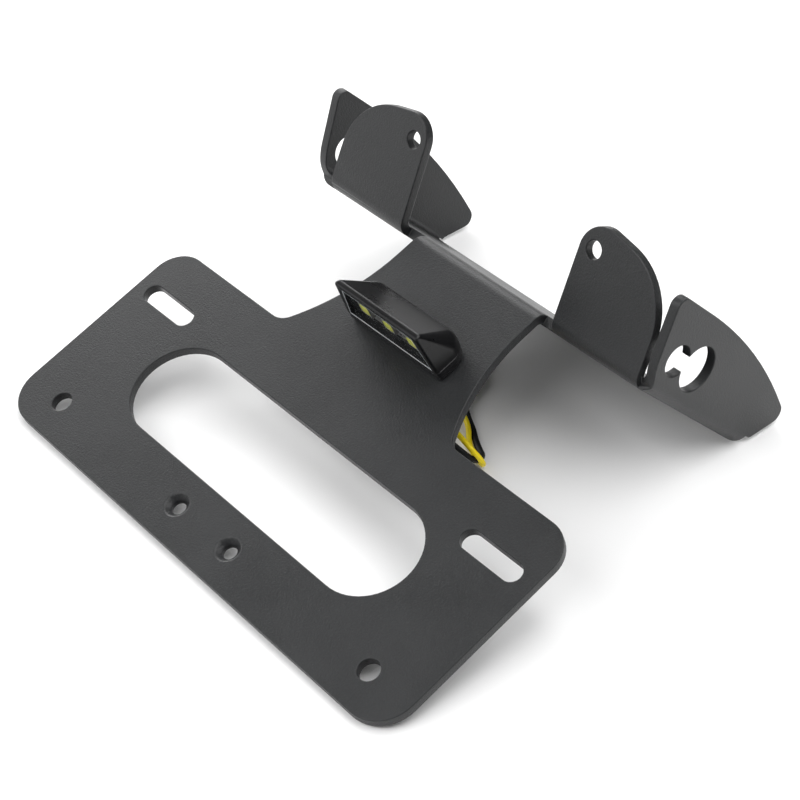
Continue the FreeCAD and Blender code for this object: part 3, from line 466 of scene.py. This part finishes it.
def join_rings(form, rings):
    """Faces between each ring of points and the next."""
    for first, second in zip(rings, rings[1:]):
        for i in range(len(first)):
            j = (i + 1) % len(first)
            form.faces.new((first[i], first[j], second[j], second[i]))


def frame_on_front(form, middle, rise, half, tall, width, depth, thick, head=None):
    """A thin frame parallel to the lamp's front face, added to a form."""
    head = half if head is None else head
    rings = []
    for inset, level in ((0.0, depth + thick), (0.0, depth), (width, depth), (width, depth + thick)):
        ring = []
        for side, up in ((-1, -1), (1, -1), (1, 1), (-1, 1)):
            reach = (half if up < 0 else head) - inset
            ring.append(form.verts.new(on_front(middle + side * reach, rise + up * (tall - inset), level)))
        rings.append(ring)
    join_rings(form, rings)


def to_mesh(form, name):
    """A form made into a mesh, with its faces turned outwards."""
    bmesh.ops.recalc_face_normals(form, faces=form.faces)
    mesh = bpy.data.meshes.new(name)
    form.to_mesh(mesh)
    form.free()
    return mesh


def make_lens_edge_highlight():
    """A pale strip on the lens's moulded edge, a painted highlight for the thin line of light that the
    clear edge reflects.
    """
    form = bmesh.new()
    rise = (BASE_TOP + LENS_HEAD) / 2
    tall = (LENS_HEAD - BASE_TOP) / 2 - 0.1
    frame_on_front(form, 0, rise, half=18.3, tall=tall, width=0.24, depth=0.02, thick=0.14, head=15.4)
    add_piece("lens_edge_painted_highlight", to_mesh(form, "lens_edge_painted_highlight"), LENS_EDGE_HIGHLIGHT, "lens_clear")


def make_gels():
    """The yellow-green light windows, each a soft-cornered square."""
    for name, middle in zip(("left", "middle", "right"), LED_MIDDLES):
        form = bmesh.new()
        rim = []
        for step in range(GEL_SIDES):
            turn = 2 * math.pi * step / GEL_SIDES
            across, up = math.cos(turn), math.sin(turn)
            round_off = (across ** 4 + up ** 4) ** -0.25
            rim.append((across * round_off * GEL_HALF, up * round_off * GEL_HALF))
        rings = []
        for part, depth in ((1.0, 1.59), (1.0, 1.53), (0.94, 1.49), (0.5, 1.485)):
            ring = [on_front(middle + a * part, LED_RISE + u * part, depth) for a, u in rim]
            rings.append([form.verts.new(point) for point in ring])
        join_rings(form, rings)
        form.faces.new(rings[-1])
        add_piece(f"gel_{name}", to_mesh(form, f"gel_{name}"), GEL, "led_phosphor", f"phosphor_{name}")


# Solder pads on the board, in mm: middle across, middle up, half width, half height.
PADS = [
    (-6.6, 9.0, 0.8, 0.5),
    (-5.0, 11.2, 0.35, 0.6),
    (-4.0, 8.2, 0.3, 0.9),
    (4.4, 9.4, 0.7, 0.35),
    (6.0, 11.0, 0.4, 0.5),
    (-14.6, 8.0, 0.6, 0.4),
    (14.4, 11.4, 0.45, 0.6),
    (1.6, 6.0, 0.9, 0.3),
]


def make_solder():
    """Bright rims round the LEDs, and the joints and pads between them."""
    form = bmesh.new()
    for middle in LED_MIDDLES:
        frame_on_front(form, middle, LED_RISE, half=2.5, tall=2.5, width=0.28, depth=1.54, thick=0.06)
    for x, level, half, tall in PADS:
        rings = []
        for part, depth in ((1.0, 3.09), (0.9, 2.95), (0.5, 2.82)):
            ring = []
            for a, u in ((-1, -1), (1, -1), (1, 1), (-1, 1)):
                place = on_front(x + a * half * part, level + u * tall * part, depth)
                ring.append(form.verts.new(place))
            rings.append(ring)
        join_rings(form, rings)
        form.faces.new(rings[-1])
    add_piece("solder", to_mesh(form, "solder"), SILVER, "led_package")


# The black loop's spread towards the inside of the loop, in mm: way along the lead, spread. The spread is
# painted shade, flat black filling the shade between the loop's strands.
PAINTED_SHADE_SPREAD = ((44, 0.92), (50, 1.8), (53, 1.4), (56, 1.22), (62, 1.18), (66, 1.12), (75, 0.92))
LOOP_BAND_HALF = 0.92
LOOP_BAND_SIDES = 20
SIDEWAYS = Vector((0.65, 0.76, 0.0))


def painted_shade_reach(along):
    """How far the painted shade spreads beside the black lead, in mm, at a way along it."""
    for (start, low), (stop, high) in zip(PAINTED_SHADE_SPREAD, PAINTED_SHADE_SPREAD[1:]):
        if along <= stop:
            return low + (high - low) * (along - start) / (stop - start)
    return PAINTED_SHADE_SPREAD[-1][1]


def make_lead_with_painted_shade(lead):
    """The black lead's loop along the lead's own points, widened on the inside into a flat black band of
    painted shade.
    """
    data = lead.data.copy()
    data.bevel_depth = 0.0
    carrier = bpy.data.objects.new("carrier", data)
    points = [vert.co.copy() for vert in bpy.data.meshes.new_from_object(carrier).vertices]
    bpy.data.objects.remove(carrier)
    form = bmesh.new()
    rings = []
    along = 0.0
    for before, point, after in zip(points, points[1:], points[2:]):
        along += (point - before).length * 1000
        if not PAINTED_SHADE_SPREAD[0][0] <= along <= PAINTED_SHADE_SPREAD[-1][0]:
            continue
        way = (after - before).normalized()
        across = (SIDEWAYS - way * way.dot(SIDEWAYS)).normalized()
        up = way.cross(across)
        ring = []
        for step in range(LOOP_BAND_SIDES):
            turn = 2 * math.pi * step / LOOP_BAND_SIDES
            reach = LOOP_BAND_HALF if math.cos(turn) > 0 else painted_shade_reach(along)
            offset = across * math.cos(turn) * reach + up * math.sin(turn) * LOOP_BAND_HALF
            ring.append(form.verts.new(point + offset / 1000))
        rings.append(ring)
    join_rings(form, rings)
    form.faces.new(rings[0])
    form.faces.new(reversed(rings[-1]))
    return add_piece("black_loop_painted_shade", to_mesh(form, "black_loop_painted_shade"), BLACK, "wire_black")


for node, width, material, slot in (
    ("bracket", 0.00035, COATED, "coated_steel"),
    ("lamp_base", 0.0003, BASE, "base_black"),
):
    soften(node, width, material, slot)

make_housing()
make_lens_edge_highlight()
make_gels()
make_solder()
coat(FOAM, "lamp_gasket")
coat(LENS, "lamp_lens")
coat(BOARD, "circuit_board")
coat(PACKAGE, "led_left", "led_middle", "led_right")
coat(CHIP, "board_resistors")
coat(YELLOW, "yellow_tail")
coat(BLACK, "black_tail")
coat(ZINC, "lamp_studs", "stud_washers", "stud_nuts")
coat(RUBBER, "lead_grommet")
coat(TIE, "hank_ties")
coat(SLEEVE, "yellow_sleeve", "black_sleeve")
coat(BRASS, "yellow_terminal", "black_terminal")

yellow = make_lead("yellow_cord", YELLOW_ROUTE + hank(-0.008, 0.106), YELLOW)
black = make_lead("black_cord", BLACK_ROUTE + hank(-0.010, 0.1206), BLACK)
# The black lead's loop, with painted shade spread flat on its inside.
shaded_loop = make_lead_with_painted_shade(black)
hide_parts("yellow_lead", "yellow_hank")
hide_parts("black_lead", "black_hank")


# Stage and light

FLOOR_REACH = 6.0
FLOOR_WHITE = (0.90, 0.90, 0.90, 1.0)
FLOOR_LIFT = 0.02
FADE_START = 0.32
FADE_STOP = 0.9


def reckon(tree, operation, first, second):
    """A value worked out from two, each a socket or a number."""
    node = tree.nodes.new("ShaderNodeMath")
    node.operation = operation
    for socket, value in zip(node.inputs, (first, second)):
        if isinstance(value, float):
            socket.default_value = value
        else:
            link(tree, value, socket)
    return node.outputs[0]


def make_floor():
    """A wide white floor that keeps the object's shadow and is plain white further off."""
    mesh = bpy.data.meshes.new("floor")
    ends = [(-1, -1), (1, -1), (1, 1), (-1, 1)]
    mesh.from_pydata([(x * FLOOR_REACH, y * FLOOR_REACH, 0) for x, y in ends], [], [(0, 1, 2, 3)])
    floor = bpy.data.objects.new("floor", mesh)
    bpy.context.scene.collection.objects.link(floor)
    material = bpy.data.materials.new("floor_white")
    material.use_nodes = True
    tree = material.node_tree
    tree.nodes.clear()
    paper = tree.nodes.new("ShaderNodeBsdfDiffuse")
    paper.inputs["Color"].default_value = FLOOR_WHITE
    lift = tree.nodes.new("ShaderNodeEmission")
    path = tree.nodes.new("ShaderNodeLightPath").outputs
    seen = reckon(tree, "MAXIMUM", path["Is Camera Ray"], path["Is Glossy Ray"])
    seen = reckon(tree, "MAXIMUM", seen, path["Is Transmission Ray"])
    away = tree.nodes.new("ShaderNodeVectorMath")
    away.operation = "LENGTH"
    link(tree, tree.nodes.new("ShaderNodeTexCoord").outputs["Object"], away.inputs[0])
    fade = spread(tree, away.outputs["Value"], 0.0, 1.0, FADE_START, FADE_STOP)
    far = reckon(tree, "MULTIPLY", fade, path["Is Camera Ray"])
    glow = reckon(tree, "ADD", reckon(tree, "MULTIPLY", seen, FLOOR_LIFT), far)
    link(tree, glow, lift.inputs["Strength"])
    both = tree.nodes.new("ShaderNodeAddShader")
    link(tree, paper.outputs[0], both.inputs[0])
    link(tree, lift.outputs[0], both.inputs[1])
    out = tree.nodes.new("ShaderNodeOutputMaterial")
    link(tree, both.outputs[0], out.inputs["Surface"])
    mesh.materials.append(material)


def make_lamp(name, place, size, power):
    """A soft box that faces the middle of the object's footprint."""
    data = bpy.data.lights.new(name, "AREA")
    data.shape = "RECTANGLE"
    data.size, data.size_y = size
    data.energy = power
    lamp = bpy.data.objects.new(name, data)
    lamp.location = place
    lamp.rotation_euler = (-Vector(place)).to_track_quat("-Z", "Y").to_euler()
    bpy.context.scene.collection.objects.link(lamp)


def make_world():
    """A faint even light from all round."""
    world = bpy.data.worlds.new("studio")
    world.use_nodes = True
    sky = world.node_tree.nodes["Background"]
    sky.inputs["Color"].default_value = (1.0, 1.0, 1.0, 1.0)
    sky.inputs["Strength"].default_value = 0.06
    bpy.context.scene.world = world


make_floor()
make_lamp("back_right", (0.45, 0.35, 1.3), (1.5, 1.5), 20.0)
make_lamp("front", (-0.1, -0.9, 1.0), (1.2, 0.8), 10.5)
make_lamp("back_left", (-0.2, 0.85, 1.1), (1.2, 0.8), 2.6)
make_lamp("left", (-1.3, -0.1, 0.5), (2.4, 0.8), 7.6)
make_lamp("left_behind", (-1.1, 0.5, 0.6), (1.4, 0.8), 13.4)
make_lamp("left_front", (-0.8, -1.0, 0.5), (1.6, 0.7), 3.4)
make_world()
bpy.context.scene.view_settings.view_transform = "Standard"
